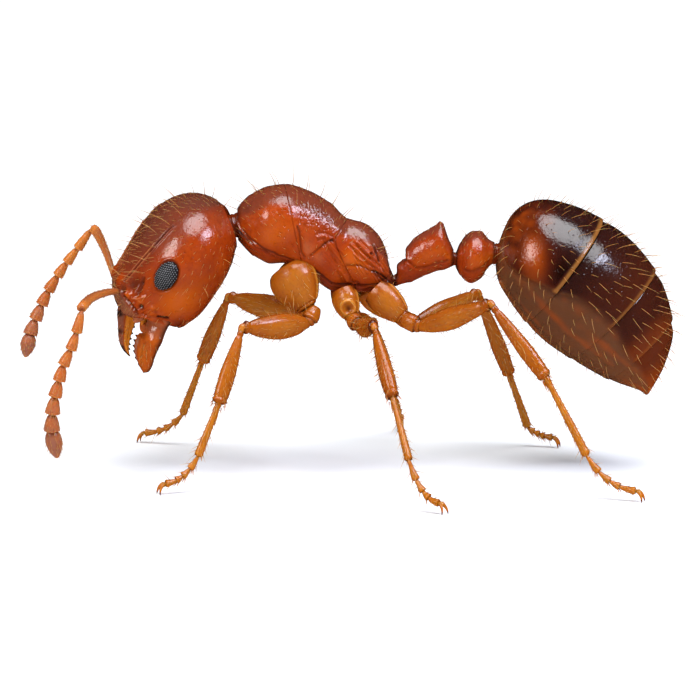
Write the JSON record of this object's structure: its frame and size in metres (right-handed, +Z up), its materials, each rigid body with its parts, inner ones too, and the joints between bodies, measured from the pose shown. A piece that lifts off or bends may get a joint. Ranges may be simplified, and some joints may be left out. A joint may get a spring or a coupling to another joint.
{
  "type": "fire ant",
  "caption": "Large fire ant worker standing on its feet: ridged head with open jaws, elbowed antennae, knotted waist and an egg-shaped gaster, as a still life-size model.",
  "frame": {"origin": "on the floor, below the middle of the ant's bounding box", "axes": "the ant faces -Y, +Z is up and +X is the ant's own left"},
  "size_m": [0.0048, 0.0066, 0.0029],
  "materials": {
    "head": "smooth glossy red-brown shell with fine pits and short golden hairs",
    "eye": "dark grey facets, satin",
    "mandible": "glossy red-brown with near-black teeth",
    "antenna": "amber, dulled by very short hairs, browner at the tip",
    "trunk": "glossy orange-red at the front, finely wrinkled behind",
    "waist": "glossy red-brown",
    "gaster": "polished brown-black with amber edges to its plates and long golden hairs",
    "leg": "glossy amber, a little see-through, with short golden hairs",
    "tarsus": "amber, bristly, with darker claw tips"
  },
  "bodies": {
    "root": {"eye_left": "eye", "eye_right": "eye", "flagellum_left": "antenna", "flagellum_right": "antenna", "fore_left_basitarsus": "tarsus", "fore_left_coxa": "leg", "fore_left_femur": "leg", "fore_left_foot": "tarsus", "fore_left_tibia": "leg", "fore_left_trochanter": "leg", "fore_right_basitarsus": "tarsus", "fore_right_coxa": "leg", "fore_right_femur": "leg", "fore_right_foot": "tarsus", "fore_right_tibia": "leg", "fore_right_trochanter": "leg", "gaster_1": "gaster", "gaster_2": "gaster", "gaster_3": "gaster", "gaster_4": "gaster", "head": "head", "hind_left_basitarsus": "tarsus", "hind_left_coxa": "leg", "hind_left_femur": "leg", "hind_left_foot": "tarsus", "hind_left_tibia": "leg", "hind_left_trochanter": "leg", "hind_right_basitarsus": "tarsus", "hind_right_coxa": "leg", "hind_right_femur": "leg", "hind_right_foot": "tarsus", "hind_right_tibia": "leg", "hind_right_trochanter": "leg", "mandible_left": "mandible", "mandible_right": "mandible", "mesothorax": "trunk", "mid_left_basitarsus": "tarsus", "mid_left_coxa": "leg", "mid_left_femur": "leg", "mid_left_foot": "tarsus", "mid_left_tibia": "leg", "mid_left_trochanter": "leg", "mid_right_basitarsus": "tarsus", "mid_right_coxa": "leg", "mid_right_femur": "leg", "mid_right_foot": "tarsus", "mid_right_tibia": "leg", "mid_right_trochanter": "leg", "petiole": "waist", "postpetiole": "waist", "pronotum": "trunk", "propodeum": "trunk", "scape_left": "antenna", "scape_right": "antenna"}
  },
  "joints": []
}
